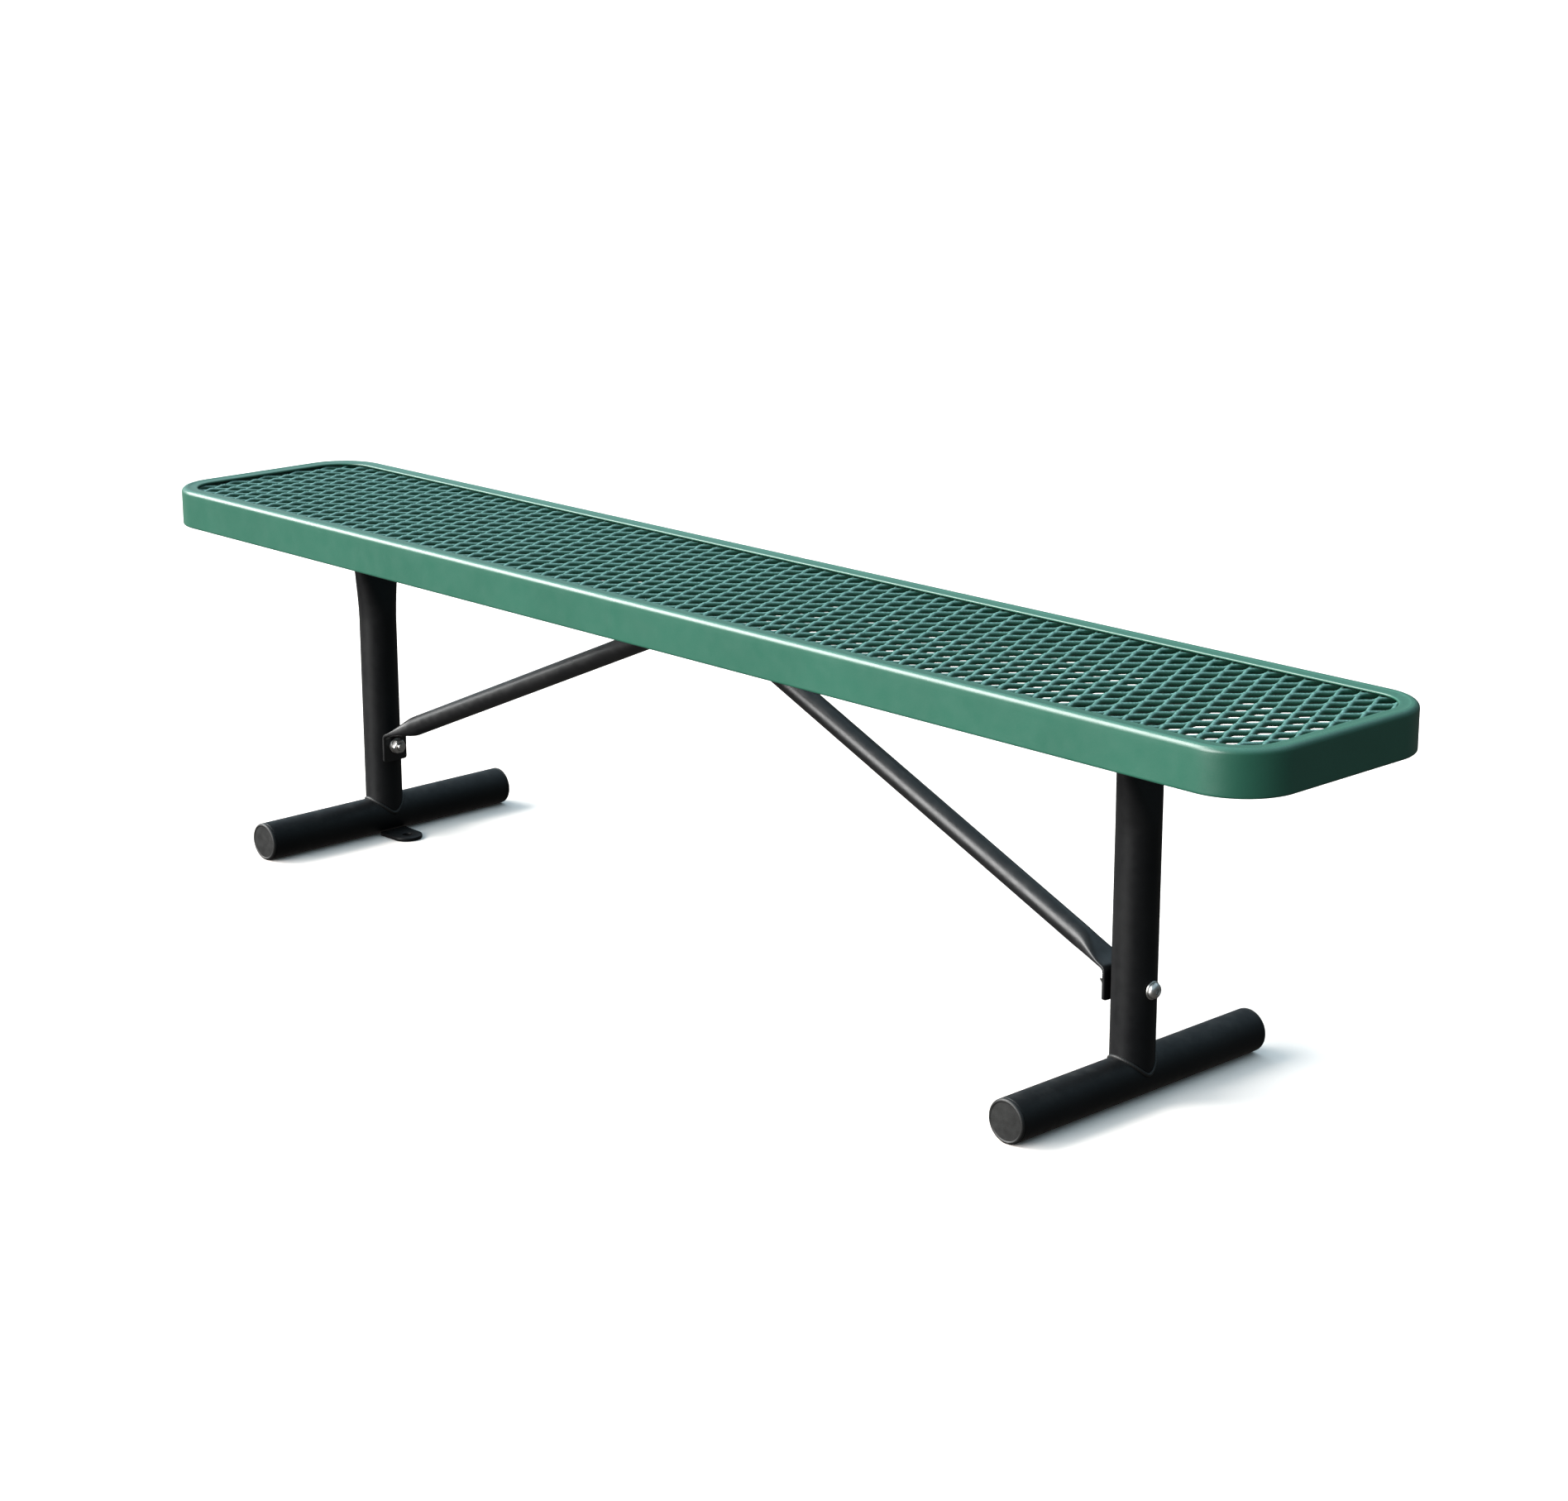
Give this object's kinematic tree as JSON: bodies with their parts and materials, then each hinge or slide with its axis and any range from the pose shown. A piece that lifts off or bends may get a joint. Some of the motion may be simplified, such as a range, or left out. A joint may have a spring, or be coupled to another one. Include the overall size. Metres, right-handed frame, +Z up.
{
  "type": "backless bench",
  "caption": "Backless outdoor bench: coated expanded-metal seat in a rounded rim, on tube legs with cross feet and diagonal braces.",
  "frame": {"origin": "on the ground under the middle of the seat", "axes": "+X along the seat, +Y to the back, +Z up"},
  "size_m": [1.829, 0.386, 0.45],
  "materials": {
    "seat_coating": "semi-gloss thick plastic coating over steel, green",
    "frame_paint": "satin black powder coat over steel tube",
    "fasteners": "stainless steel, satin"
  },
  "bodies": {
    "root": {"rim_half_left": "seat_coating", "rim_half_right": "seat_coating", "seat_panel": "seat_coating", "cross_angle_left": "seat_coating", "cross_angle_right": "seat_coating", "center_cross_bar": "seat_coating", "top_plate_left": "frame_paint", "top_plate_right": "frame_paint", "post_left": "frame_paint", "post_right": "frame_paint", "foot_tube_left": "frame_paint", "foot_tube_right": "frame_paint", "foot_cap_left_front": "frame_paint", "foot_cap_left_back": "frame_paint", "foot_cap_right_front": "frame_paint", "foot_cap_right_back": "frame_paint", "anchor_tab_left": "frame_paint", "anchor_tab_right": "frame_paint", "brace_left": "frame_paint", "brace_right": "frame_paint", "brace_bolt_left": "fasteners", "brace_bolt_right": "fasteners", "brace_outer_washer_left": "fasteners", "brace_outer_washer_right": "fasteners", "brace_inner_washer_left": "fasteners", "brace_inner_washer_right": "fasteners", "brace_nut_left": "fasteners", "brace_nut_right": "fasteners", "center_bolt": "fasteners", "center_head_washer": "fasteners", "center_nut_washer": "fasteners", "center_nut": "fasteners", "seat_bolt_left_front": "fasteners", "seat_washer_left_front": "fasteners", "seat_nut_left_front": "fasteners", "seat_bolt_left_back": "fasteners", "seat_washer_left_back": "fasteners", "seat_nut_left_back": "fasteners", "seat_bolt_right_front": "fasteners", "seat_washer_right_front": "fasteners", "seat_nut_right_front": "fasteners", "seat_bolt_right_back": "fasteners", "seat_washer_right_back": "fasteners", "seat_nut_right_back": "fasteners"}
  },
  "joints": []
}
